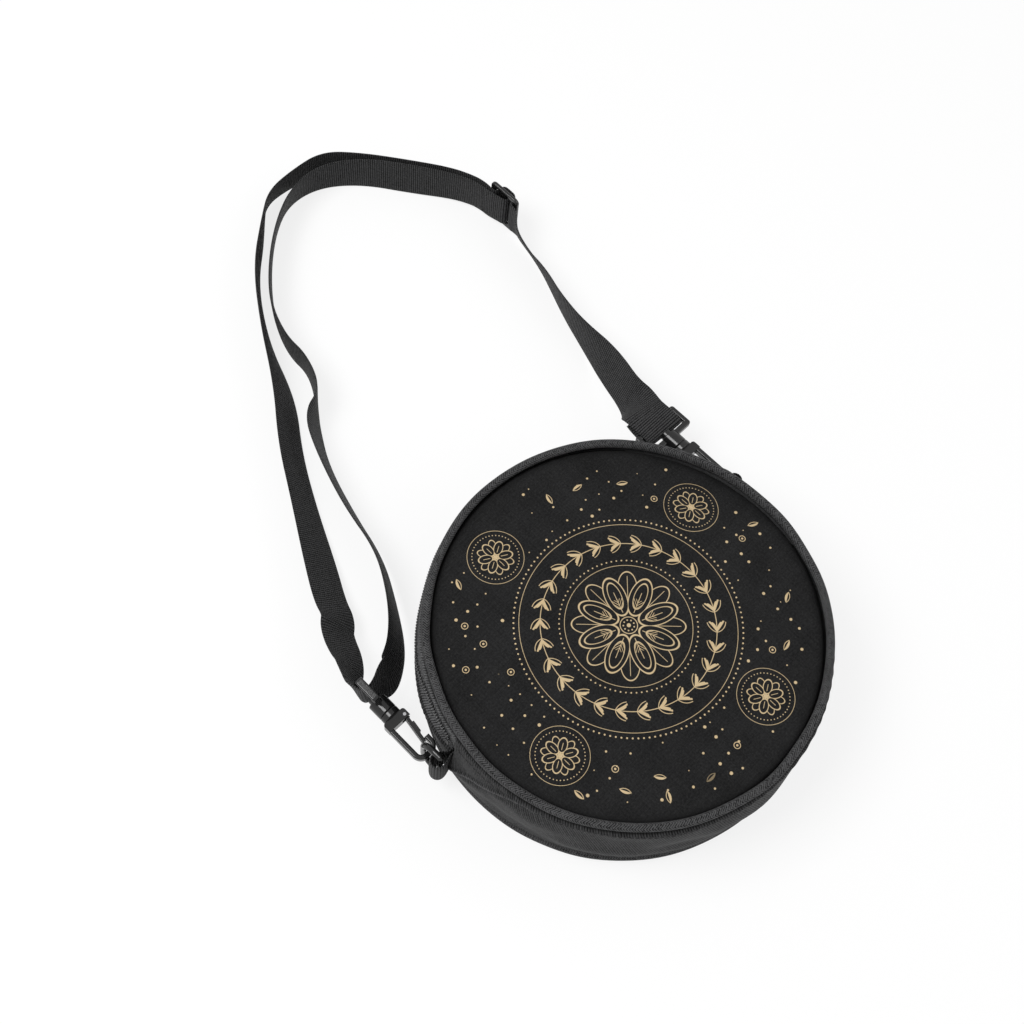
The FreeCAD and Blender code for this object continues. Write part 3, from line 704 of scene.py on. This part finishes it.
# The tape's seams paint shade into the groove under the front piping and in narrow lines just beside the coil.
tape_cloth = cloth_finish("zip_tape", "twill", (twill_pitch, 2.0 * MM), 0.004, 0.112, 0.18 * MM, 0.6,
                          contrast=1.3, uneven=1.3, yarns=900.0, steep=0.5,
                          seams=((wall_front_z - 0.8 * MM, 1.2 * MM), (zip_z + 3.2 * MM, 0.4 * MM),
                                 (zip_z - 3.2 * MM, 0.4 * MM)))
web_cloth = cloth_finish("webbing", "rib", (1.4 * MM, 1.5 * MM), 0.003, 0.056, 0.45 * MM, 0.58,
                         contrast=1.5, uneven=0.8)
lining_cloth = cloth_finish("lining", "canvas", (0.35 * MM,), 0.012, 0.03, 0.1 * MM, 0.5, sheen=0.2)
binding_cloth = cloth_finish("binding_tape", "twill", (0.9 * MM, 1.8 * MM), 0.014, 0.05, 0.2 * MM, 0.6)
thread = cloth_finish("thread", "twill", (0.5 * MM, 0.5 * MM), 0.012, 0.06, 0.1 * MM, 0.45)
coil_nylon = cloth_finish("zip_coil", "twill", (0.8 * MM, 1.6 * MM), 0.02, 0.1, 0.05 * MM, 0.3, gloss=0.6, sheen=0.0)
black_plastic = hard_finish("black_plastic", 0.005, 0.012, 0.16, 0.12, 2600.0, 0.015 * MM, Specular_IOR_Level=0.4)
black_metal = hard_finish("black_metal", 0.02, 0.045, 0.34, 0.2, 3000.0, 0.015 * MM, Metallic=0.7)
steel = hard_finish("steel_pin", 0.32, 0.5, 0.3, 0.2, 3600.0, 0.01 * MM, Metallic=1.0)

for names, finish in (
        (("d_ring_left", "d_ring_right", "swivel_base_left", "swivel_base_right", "hook_left", "hook_right",
          "gate_left", "gate_right", "tri_glide"), black_plastic),
        (("zip_slider", "zip_pull", "zip_end_stops"), black_metal),
        (("gate_pin_left", "gate_pin_right"), steel)):
    for name in names:
        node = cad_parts[name]
        for holder in node.material_slots:
            holder.material = finish


# Strap: the route's points in millimetres, each with its lift above the floor and its lean in degrees

def from_here(x, y, points):
    """Points counted from a bar or a buckle, as points of the whole route."""
    return [(x / MM + a, y / MM + b, lift, lean) for a, b, lift, lean in points]


sewn_turn = from_here(buckle_x, buckle_y, [
    (-0.9, 3.4, 4.3, 0), (2.9, 3.5, 4.3, 0), (2.8, -3.5, 4.3, 0), (-2.9, -3.4, 4.3, 0), (-3.9, 2.4, 4.3, 0),
    (-5.3, 7.5, 4.3, 0), (-5.5, 15, 4, 0)])
inner_stretch = [
    (159.6, 279, 3.4, 0), (154.6, 292.2, 1.5, -2), (140.2, 313.6, 0.4, -8), (120.4, 339.9, 0.5, -4),
    (97.3, 355.2, 0.5, 4), (73.8, 356, 0.2, 13), (52.5, 344.6, 0.3, 10), (29.7, 324.6, 0.5, 4),
    (9.8, 300.1, 0.5, -2), (-0.3, 274.5, 0.5, 0), (-0.1, 255.4, 0.5, 0), (-10.1, 234.8, 0.5, 8),
    (-24.1, 225, -0.1, -20), (-36.2, 201.6, 0.2, -14), (-47, 166.5, 0.5, -16), (-53.6, 135, 3.6, -11.4),
    (-67.5, 109.3, 6.2, -11.4), (-83.1, 87.9, 7.1, -20.6)]
left_turn = from_here(-bar_x, base_y, [
    (16.7, -2.4, 10.8, -28.8), (9.9, -3.4, 15.9, -27.2), (3.5, -3.8, 17, 0), (-3.9, -4, 16, 0), (-4.1, 4.2, 16, 8),
    (-2.4, 8.2, 16.4, 22)])
outer_stretch = [
    (-109.7, 98.8, 11.2, 42), (-103.2, 115.2, 7.8, 43), (-96.2, 121.7, 5.9, 44), (-92.4, 133.2, 4.1, 45),
    (-81.3, 153.4, 0.6, 44), (-63, 187.8, -0.7, 33),
    (-44.7, 220.9, -1.1, 30), (-22.4, 251, -0.8, 27), (-5.3, 288.7, 0.5, 6), (18.5, 324.9, 0.5, 0),
    (44.8, 348.3, 0.5, -2), (61, 364.4, 0.1, -16), (82.3, 365.5, 0.3, -13), (106.5, 361.9, 0.5, -5),
    (124.8, 343.7, 0.5, -5), (143, 319, 0.5, -3), (157.6, 296.5, 1, 0), (163, 280, 3.4, 0)]
threaded_turn = from_here(buckle_x, buckle_y, [
    (-2.3, 15.2, 4.3, 0), (-2.6, 9.3, 4.3, 0), (-2.4, 5.7, 4.3, 0), (4.5, 5.6, 4.3, 0), (4.9, 0, 4.3, 0),
    (4.4, -5.7, 4.3, 0), (-2.4, -5.8, 4.3, 0), (-2.8, -13, 4.3, 0)])
right_stretch = [
    (158.7, 235.5, 2.7, -18), (155.2, 219.4, 0.7, -24), (150.8, 201.2, 0.4, -12), (143.2, 181.2, 0.5, -7),
    (137.7, 156.3, -0.8, 3.9), (130.6, 128.7, 5.2, 28.9), (122.4, 103.7, 9.2, 27.1), (117.8, 95.1, 15.1, 64.6)]
right_turn = from_here(bar_x, base_y, [
    (0, 9.6, 19.7, 90), (-0.1, -7.6, 19.8, 90), (0, -7.6, 13, 90), (0.1, 5, 13, 90), (0.3, 11, 15.6, 90)])


def spline_points(points, steps=12):
    """Points of a smooth NURBS curve of order three whose control points these are."""
    curve = bpy.data.curves.new("route", "CURVE")
    curve.dimensions = "3D"
    spline = curve.splines.new("NURBS")
    spline.points.add(len(points) - 1)
    spline.points.foreach_set("co", np.insert(points, 3, 1.0, axis=1).ravel())
    spline.order_u = 3
    spline.use_endpoint_u = True
    spline.resolution_u = steps
    holder = bpy.data.objects.new("route", curve)
    mesh = bpy.data.meshes.new_from_object(holder)
    read = np.empty(len(mesh.vertices) * 3, np.float32)
    mesh.vertices.foreach_get("co", read)
    bpy.data.objects.remove(holder)
    bpy.data.curves.remove(curve)
    bpy.data.meshes.remove(mesh)
    return read.reshape(-1, 3).astype(float)


def strap_line():
    """The strap's middle line and the direction of its width. The width leans from upright to one side by
    the lean, and where the strap lies flat it is carried on from the point before."""
    route = np.array(sewn_turn + inner_stretch + left_turn + outer_stretch + threaded_turn
                     + right_stretch + right_turn, float)
    control = route[:, :3] * MM
    control[:, 2] += web_width / 2
    middle = spline_points(control)
    lean = np.radians(spline_points(np.stack([route[:, 3] * MM] * 3, 1))[:, :1] / MM)
    along = unit(np.gradient(middle, axis=0))
    side = unit(np.cross(UP, along))
    upright = unit(UP - along * along[:, 2:])
    wide = upright * np.cos(lean) + side * np.sin(lean)
    flat = int(np.argmax(lean[:, 0] > math.radians(86)))
    wide[flat:] = wide[flat]
    return middle, wide


strap_middle, strap_wide = strap_line()
height_above = strap_middle[:, 1]
cut_y = 303 * MM
below_buckle_y = 206 * MM
cuts = [0, int(np.argmax(height_above > cut_y)), int(np.nonzero(height_above > cut_y)[0][-1])]
cuts.append(cuts[-1] + int(np.argmax(height_above[cuts[-1]:] < buckle_y)))
cuts.append(cuts[-1] + int(np.argmax(height_above[cuts[-1]:] < below_buckle_y)))
cuts.append(len(strap_middle) - 1)
strap_run = run_along(strap_middle)
strap_bends = [
    ("strap_sewn_end", "slide_buckle", "bag", (0.166, 0.274, 0.017), (0.166, 0.300, 0.017)),
    ("strap_loop", "bag", "ring_left", (-0.09, 0.190, 0.02), (-0.09, 0.096, 0.02)),
    ("strap_threaded_end", "bag", "slide_buckle", (0.166, 0.300, 0.017), (0.166, 0.274, 0.017)),
    ("strap_below_buckle", "slide_buckle", "bag", (0.166, 0.240, 0.017), (0.166, 0.210, 0.017)),
    ("strap_right_end", "bag", "ring_right", (0.13, 0.190, 0.02), (0.13, 0.100, 0.02))]
for (name, first, second, start, end), low, high in zip(strap_bends, cuts[:-1], cuts[1:]):
    stretch = slice(low, high + 1)
    piece = ribbon_piece(name, strap_middle[stretch], strap_wide[stretch], web_cloth, "webbing",
                         start=strap_run[low])
    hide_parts("strap_webbing")
    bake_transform(piece)


def stitch_row(name, places, heading, face, finish, length=2.3 * MM, width=0.75 * MM):
    """A row of stitches: a grain at each place along the heading, standing out of the face."""
    heading, face = unit(heading), unit(face)
    axes = np.stack([heading, np.cross(face, heading), face], 1)
    return repeated_piece(name, grain(length, width, width), places, axes, finish)


def cross_stitches(name, at, towards, body):
    """A row of stitches across the strap at one point of its line, on the face that looks towards a direction."""
    along = unit(strap_middle[at + 1] - strap_middle[at - 1])
    wide = unit(strap_wide[at] - along * (strap_wide[at] @ along))
    face = np.cross(along, wide)
    face = face * np.sign(face @ np.array(towards))
    offset = np.arange(-10, 10.5, 2.8)[:, None] * MM
    places = strap_middle[at] + wide * offset + face * (web_thickness / 2 + 0.05 * MM)
    heading, faces = (np.tile(way, (len(places), 1)) for way in (wide, face))
    row = stitch_row(name, places, heading, faces, thread)
    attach(row, body)


on_right = np.arange(len(strap_middle)) > cuts[4]
for number, reach in enumerate((10.4 * MM, 7.6 * MM)):
    cross_stitches("right_end_stitches_%d" % number, int(np.argmax(on_right & (height_above < base_y + reach))),
                   (0, 0, 1), "ring_right")
for number, reach in enumerate((10.0 * MM, 12.8 * MM)):
    cross_stitches("sewn_end_stitches_%d" % number,
                   10 + int(np.argmax(height_above[10:] > buckle_y + reach)), (-1, 0, 0), "slide_buckle")


# Bag shell

def front_top(angle, radius):
    """Height of the front's outside: a low crown that falls with the square of the radius, a turn down into
    the piping's seam, soft waves, two shallow dents near the lower right rim, and a sinking by the right tab."""
    x, y = around(radius, angle)
    share = radius / front_radius
    dents = 0.9 * bell(x, 52 * MM, 15 * MM) * bell(y, -66 * MM, 12 * MM)
    dents = dents + 0.7 * bell(x, 70 * MM, 14 * MM) * bell(y, -38 * MM, 16 * MM)
    waves = 0.28 * soft_waves(x, y, 45 * MM, 110 * MM, 3) * ease(share * 1.5)
    seam = 2.9 * ease((radius - front_radius + 3.4 * MM) / (3.0 * MM)) ** 2
    pucker = 0.16 * np.cos(angle * 58 + 1.5 * np.sin(angle * 7)) * bell(share, 0.975, 0.035)
    return front_panel_z - sunken(angle, radius) + (1.0 * (1 - share ** 2) + waves + pucker - dents - seam) * MM


def sunken(angle, radius):
    """How far the front sinks by the right tab: an ease from the middle of the panel to its rim."""
    return 4.2 * MM * rim_pull(angle) * ease((radius - 64 * MM) / (36 * MM))


def front_under(angle, radius):
    """Height of the front's inside: even with the rim of the cloth."""
    return front_panel_z - 3.3 * MM - sunken(angle, radius)


def flat_at(height, waver, seed, sinks=False):
    """Height of a flat lining: one level with soft waves, and with the front's sinking."""
    def level(angle, radius):
        x, y = around(radius, angle)
        waves = waver * soft_waves(x, y, 25 * MM, 70 * MM, seed) * (1 - radius / panel_radius * 0.8)
        return height + waves - sinks * sunken(angle, radius)
    return level


def back_under(angle, radius):
    """Height of the back's outside: flat on the ground, rising to the piping's seam near the rim."""
    return 1.6 * MM * ease((radius - panel_radius + 7 * MM) / (7 * MM)) ** 1.5 + 0 * angle


def sew(piece, *nodes, folds=False):
    """The piece takes the place of these solids, which are hidden. It goes with the bag, or with folds it is left
    where it is, its placing applied to its points."""
    if nodes:
        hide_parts(*nodes)
    if folds:
        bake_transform(piece)
    else:
        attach(piece, "bag")
    return piece


front_panel = sew(
    disc_piece("front_panel", front_top, front_under, panel_cloth, "printed_canvas", reach=front_radius),
    "front_panel_flap", "front_panel_lower", "front_foam_flap", "front_foam_lower", folds=True)
sew(disc_piece("front_lining", flat_at(60.6 * MM, 0.1 * MM, 5, True), flat_at(60.0 * MM, 0.25 * MM, 5, True),
               lining_cloth, "lining", spokes=200, rings=50, reach=103.6 * MM),
    "front_lining_flap", "front_lining_lower", folds=True)
back_panel = sew(
    disc_piece("back_panel_cloth", flat_at(3.5 * MM, 0, 7), back_under, back_cloth, "black_canvas",
               spokes=240, rings=60),
    "back_panel", "back_foam")
sew(disc_piece("back_lining_cloth", flat_at(4.3 * MM, 0.25 * MM, 9), flat_at(3.7 * MM, 0, 9), lining_cloth, "lining",
               spokes=200, rings=50), "back_lining")

sew(ring_piece("front_piping", front_rim_radius, front_rim_z, 2.3 * MM, 2.15 * MM, piping_cloth, "twill_piping",
               waver=0.25 * MM, seed=11, drop=2.0 * MM, flange=3.0 * MM),
    "front_piping_flap", "front_piping_lower", folds=True)
sew(ring_piece("back_piping_cloth", rim_radius, back_rim_z, piping_radius, piping_radius, piping_cloth,
               "twill_piping", waver=0.15 * MM, seed=15), "back_piping")
for name, z, seed, nodes in (
        ("front_binding", 58.5 * MM, 17, ("front_binding_flap", "front_binding_lower")),
        ("back_binding_tape", 7.7 * MM, 19, ("back_binding",))):
    sew(ring_piece(name, 105.2 * MM, z, 1.5 * MM, 1.35 * MM, binding_cloth, "binding_tape", waver=0.1 * MM,
                   seed=seed, rows=480, sides=12), *nodes, folds=name == "front_binding")


def shoulder(z):
    """How far a wall turns in, in millimetres, where it goes under the front piping."""
    return 1.7 * (1 - ease((wall_front_z - z) / (2.4 * MM)))


def lower_wall(angle, z):
    """Radius of the lower wall: a belly that sags towards the ground, a shoulder and a raised seam edge at the
    front, a groove and a raised edge at the back, puckers that fade away from the seams, long soft wrinkles, a
    crease that climbs from the left tab to the front seam and runs on beside it, with a hollow below it, a fuller
    left end, and a pull in at the right tab. Both ends tuck into the seams beside the tabs."""
    t = (wall_front_z - z) / (wall_front_z - wall_back_z)
    arc = angle * wall_radius
    depth = wall_front_z - z
    swell = np.sin(math.pi * t)
    belly = 1.9 * swell ** 0.8 * (0.7 + 0.5 * t)
    rise = z - wall_back_z
    seams = 0.75 * bell(rise, 4.6 * MM, 1.3 * MM) - 0.7 * bell(rise, 1.6 * MM, 1.4 * MM) - shoulder(z)
    puckers = 0.0
    for apart, seed in ((depth, 2.1), (rise, 0.4)):
        puckers = puckers + 0.22 * np.cos(arc * TURN / (8 * MM) + seed * np.sin(arc * 90)) * np.exp(-apart / (7 * MM))
    folds = 0.75 * soft_waves(arc, z * 1.8, 26 * MM, 80 * MM, 23) * swell
    left, right = (angle - lower_start) * wall_radius, (lower_end - angle) * wall_radius
    crest = np.minimum(crease_start + crease_slope * left - crease_bend * left ** 2, crease_top)
    climb = z - np.where(left > crease_reach, crease_top, crest)
    near = 1 - ease((left - 26 * MM) / (40 * MM))
    fold = (0.9 + 0.9 * near) * bell(climb, 0, 1.3 * MM) - 1.1 * near * bell(climb, -5 * MM, 3.4 * MM)
    ends = 2.8 * np.exp(-left / (22 * MM)) * swell - 1.2 * np.exp(-right / (14 * MM))
    tuck = ease((left + 2.2 * MM) / (4 * MM)) * ease((right + 2.2 * MM) / (6 * MM))
    low_right = 0.9 * bell(angle, math.radians(268), math.radians(20)) * swell
    return wall_radius + (seams + puckers + tuck * (belly + folds + fold + ends + low_right)) * MM


def upper_wall(angle, z):
    """Radius of the upper wall: fullest along the zip, and fuller still towards the left tab but for the zip's
    last stretch, falling to the plain radius at both rims and both tabs, with a shoulder under the front piping."""
    high = ease((wall_front_z - z) / (11 * MM)) * ease((z - 4 * MM) / (34 * MM))
    ends = np.minimum(angle - upper_start, upper_end - angle) * wall_radius
    arc = angle * wall_radius
    zip_band = 1 - ease((np.abs(z - zip_z) - 8 * MM) / (5 * MM))
    left = bell(angle, math.radians(154), math.radians(15))
    left = left * (1 - zip_band * ease((angle - math.radians(143)) / math.radians(12)))
    full = ease((ends + 2 * MM) / (9 * MM)) * (0.8 * ease(ends / (60 * MM)) + 3.2 * left)
    folds = 0.3 * soft_waves(arc, z, 35 * MM, 90 * MM, 29) * ease(ends / (40 * MM))
    return wall_radius + (full * high + folds * high - shoulder(z)) * MM


def hemmed_wall(angle, z):
    """The upper wall's canvas: it lies one cloth over the tape, and its folded hem is fuller at the edge."""
    edge = hem_z - z
    hem = 0.9 * ease(edge / (1.2 * MM)) + 0.35 * bell(edge, 1.5 * MM, 1.5 * MM) - 0.3 * bell(edge, 4 * MM, 1 * MM)
    seam = -0.7 * bell(z - wall_back_z, 1.6 * MM, 1.4 * MM)
    return upper_wall(angle, z) + (hem + seam) * MM


sew(wall_piece("gusset_lower_cloth", lower_start, lower_end, wall_front_z, wall_back_z, lower_wall,
               canvas_thickness, wall_cloth, "black_canvas", rows=460, across=72), "gusset_lower")
sew(wall_piece("gusset_upper_cloth", upper_start, upper_end, hem_z, wall_back_z, hemmed_wall,
               canvas_thickness, wall_cloth, "black_canvas", rows=300, across=40), "gusset_upper")
sew(wall_piece("zip_tape_back_cloth", upper_start, upper_end, zip_z - 0.5 * MM, tape_back_z, upper_wall,
               tape_thickness, tape_cloth, "zip_tape", rows=300, across=14), "zip_tape_back")
sew(wall_piece("zip_tape_front_cloth", upper_start, upper_end, wall_front_z, zip_z + 0.5 * MM, upper_wall,
               tape_thickness, tape_cloth, "zip_tape", rows=300, across=18),
    "zip_tape_front", "zip_tape_front_ends", folds=True)


def lining_wall(angle, z):
    """Radius of the wall's lining: just inside the cloth, with soft waves."""
    return 107.3 * MM + 0.12 * MM * soft_waves(angle * wall_radius, z, 20 * MM, 60 * MM, 31)


for name, start, end, top in (("gusset_lining_lower", lower_start, lower_end, 59.8 * MM),
                              ("gusset_lining_upper", upper_start, upper_end, 34.2 * MM)):
    sew(wall_piece(name + "_cloth", start, end, top, 6.4 * MM, lining_wall, 0.35 * MM, lining_cloth, "lining",
                   rows=240, across=24), name)


# Zip teeth and seams

def on_wall(angle, z, proud, wall):
    """Places on a wall, standing proud of it, with the directions along it, up the bag and outwards."""
    radius = wall(angle[:, None], np.full((1, 1), z))[:, 0] + proud
    out = stacked(np.cos(angle), np.sin(angle), 0 * angle)
    along = stacked(-np.sin(angle), np.cos(angle), 0 * angle)
    up = np.zeros_like(out) + UP
    return out * radius[:, None] + up * z, along, up, out


tooth_pitch = 1.6 * MM
tooth_count = int((upper_end - upper_start) * wall_radius / tooth_pitch) - 4
tooth_angles = upper_start + (np.arange(tooth_count) + 2.5) * tooth_pitch / wall_radius
for name, shift, z, nodes in (
        ("zip_coil_front", 0.0, zip_z + 1.25 * MM, ("zip_coil_front", "zip_coil_front_ends")),
        ("zip_coil_back", 0.5, zip_z - 1.25 * MM, ("zip_coil_back",))):
    angles = tooth_angles + shift * tooth_pitch / wall_radius
    places, along, up, out = on_wall(angles, z, 0.55 * MM, upper_wall)
    teeth = repeated_piece(name + "_teeth", grain(3.3 * MM, 1.0 * MM, 1.7 * MM, fullness=3.0),
                           places, np.stack([up, along, out], 1), coil_nylon)
    sew(teeth, *nodes, folds=not shift)

stitch_pitch = 3.0 * MM
stitch_margin = 0.03
for name, wall, z, start, end in (
        ("hem_stitches", hemmed_wall, tape_back_z - 0.6 * MM, upper_start, upper_end),
        ("tape_stitches", upper_wall, zip_z + 6.3 * MM, upper_start, upper_end),
        ("wall_seam_stitches", lower_wall, wall_front_z - 6.8 * MM, lower_start, lower_end)):
    angles = np.arange(start + stitch_margin, end - stitch_margin, stitch_pitch / wall_radius)
    places, along, up, out = on_wall(angles, z, 0.05 * MM, wall)
    sew(stitch_row(name, places, along, out, thread), folds=name == "tape_stitches")


# Tabs

def tab_line(side):
    """Middle line of a tab: out from the seam, round the ring's bar in a loose half circle, and back. The legs
    part by an ease from lying together to the half circle's width."""
    eye, middle = 4.0 * MM, bar_radius + 1.2 * MM
    out = np.linspace(103.5 * MM, middle, 30)
    apart = 0.8 * MM + (eye - 0.8 * MM) * ease((out - 109.5 * MM) / (middle - 109.5 * MM))
    turn = np.linspace(math.pi / 2, -math.pi / 2, 24)[1:-1]
    away = np.concatenate([out, middle + eye * np.cos(turn), out[::-1]])
    aside = np.concatenate([apart, eye * np.sin(turn), -apart[::-1]])
    angle = tab_angle if side > 0 else math.pi - tab_angle
    x = away * math.cos(angle) - aside * math.sin(angle)
    y = away * math.sin(angle) + aside * math.cos(angle)
    return stacked(x, y, np.full(len(x), tab_z))


for name, side in (("tab_left", -1), ("tab_right", 1)):
    middle = tab_line(side)
    sew(ribbon_piece(name + "_webbing", middle, np.zeros_like(middle) + UP, web_cloth, "webbing"), name)


# Floor, light and camera

def seen_rays(tree):
    """One for rays of the camera and for those that mirrors and glass send on, nought for all others."""
    rays = tree.nodes.new("ShaderNodeLightPath").outputs
    return union(*(Flow(tree, rays[label]) for label in ("Is Camera Ray", "Is Glossy Ray", "Is Transmission Ray")))


def floor_finish():
    """Pale floor: a white surface that the camera, mirrors and glass see mostly at plain white, and that
    keeps the object's shadow."""
    material = bpy.data.materials.new("floor")
    material.use_nodes = True
    tree = material.node_tree
    surface = tree.nodes["Principled BSDF"]
    surface.inputs["Base Color"].default_value = (0.92, 0.92, 0.92, 1)
    surface.inputs["Roughness"].default_value = 0.9
    glow, = new_node(tree, "Emission", ())
    mixed, = new_node(tree, "MixShader", (seen_rays(tree) * 0.8, Flow(tree, surface.outputs[0]), glow))
    tree.links.new(mixed.socket, tree.nodes["Material Output"].inputs["Surface"])
    return material


floor_half = 4.0
corner = np.linspace(-floor_half, floor_half, 9)
floor_x, floor_y = np.meshgrid(corner, corner, indexing="ij")
floor_points = stacked(floor_x, floor_y, np.full(floor_x.shape, -0.2 * MM))
floor = grid_piece("floor", floor_points, floor_points[..., :2], floor_finish(), "lining")

world = bpy.data.worlds.new("studio")
bpy.context.scene.world = world
world.use_nodes = True
sky = world.node_tree.nodes["Background"]
sky.inputs["Color"].default_value = (1, 1, 1, 1)
sky_light = 0.5
sky_strength = seen_rays(world.node_tree) * (1 - sky_light) + sky_light
world.node_tree.links.new(sky_strength.socket, sky.inputs["Strength"])


def set_place(holder, right, up, back, place):
    """Turns a lamp or camera so that its own axes lie along these directions, and puts it in its place."""
    rows = np.eye(4)
    rows[:3] = np.stack([right, up, back, place], 1)
    holder.matrix_world = Matrix(rows.tolist())


def softbox(name, place, aim, size, power):
    """A square area lamp at a place, turned to face its aim."""
    lamp = bpy.data.lights.new(name, "AREA")
    lamp.size = size
    lamp.energy = power
    holder = new_object(name, lamp)
    back = unit(np.array(place) - np.array(aim))
    right = unit(np.cross((0.0, 1.0, 0.0), back))
    up = np.cross(back, right)
    set_place(holder, right, up, back, place)


softbox("key_light", (-0.7, 0.6, 1.5), (0.0, 0.05, 0.0), 0.8, 20)
softbox("fill_light", (0.9, -0.9, 1.2), (0.0, 0.05, 0.0), 1.2, 6)

camera_data = bpy.data.cameras.new("camera")
camera_data.lens = 50
camera_data.sensor_width = 36
camera = new_object("camera", camera_data)
camera_right = (0.70577, -0.70577, 0.0613)
camera_up = (0.62573, 0.66164, 0.4131)
camera_back = (-0.33213, -0.25322, 0.9086)
camera_place = (-0.2528, -0.1059, 0.7607)
set_place(camera, camera_right, camera_up, camera_back, camera_place)
bpy.context.scene.camera = camera
bpy.context.scene.view_settings.view_transform = "Standard"
